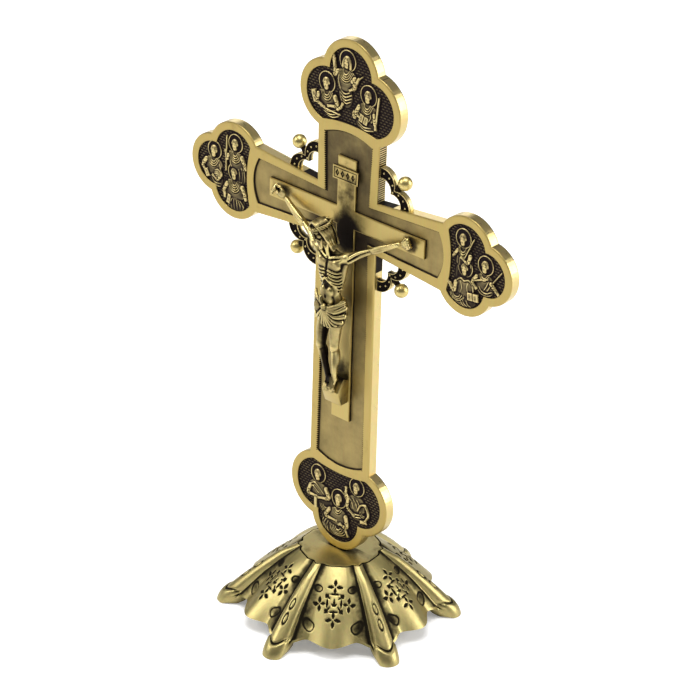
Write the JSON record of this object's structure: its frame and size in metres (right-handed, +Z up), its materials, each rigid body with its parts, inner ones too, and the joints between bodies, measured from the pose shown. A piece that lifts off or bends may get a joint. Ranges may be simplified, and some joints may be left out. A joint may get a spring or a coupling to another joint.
{
  "type": "altar cross",
  "caption": "Free-standing altar cross with lobed ends, relief plaques, applied figure, foot rest and corner brackets, on a flared ribbed six-sided foot.",
  "frame": {"origin": "middle of the foot, on the surface that the toes stand on", "axes": "+Z up the upright, the decorated front of the cross faces -Y, +X to the viewer's right"},
  "size_m": [0.145, 0.0872, 0.22],
  "materials": {
    "border_brass": "satin antique brass, fine vertical brushing",
    "polished_brass": "smooth bright brass",
    "figure_brass": "antiqued brass, dark in the folds",
    "foot_brass": "satin antique brass with dark punched ornament",
    "dark_patina": "dark brown patina with rubbed bright edges",
    "fastener_steel": "plain plated steel"
  },
  "bodies": {
    "root": {"cross_body": "border_brass", "relief_top": "dark_patina", "relief_left": "dark_patina", "relief_right": "dark_patina", "relief_bottom": "dark_patina", "inner_cross": "border_brass", "titulus_plate": "border_brass", "corpus": "figure_brass", "foot_rest": "border_brass", "nail_hand_left": "dark_patina", "nail_hand_right": "dark_patina", "nail_feet": "dark_patina", "bracket_upper_left": "dark_patina", "bracket_upper_right": "dark_patina", "bracket_lower_left": "dark_patina", "bracket_lower_right": "dark_patina", "finial_upper_left": "polished_brass", "finial_upper_right": "polished_brass", "finial_lower_left": "polished_brass", "finial_lower_right": "polished_brass", "base_skirt": "foot_brass", "base_cap": "foot_brass", "stud_washer": "fastener_steel", "stud_nut": "fastener_steel"}
  },
  "joints": []
}
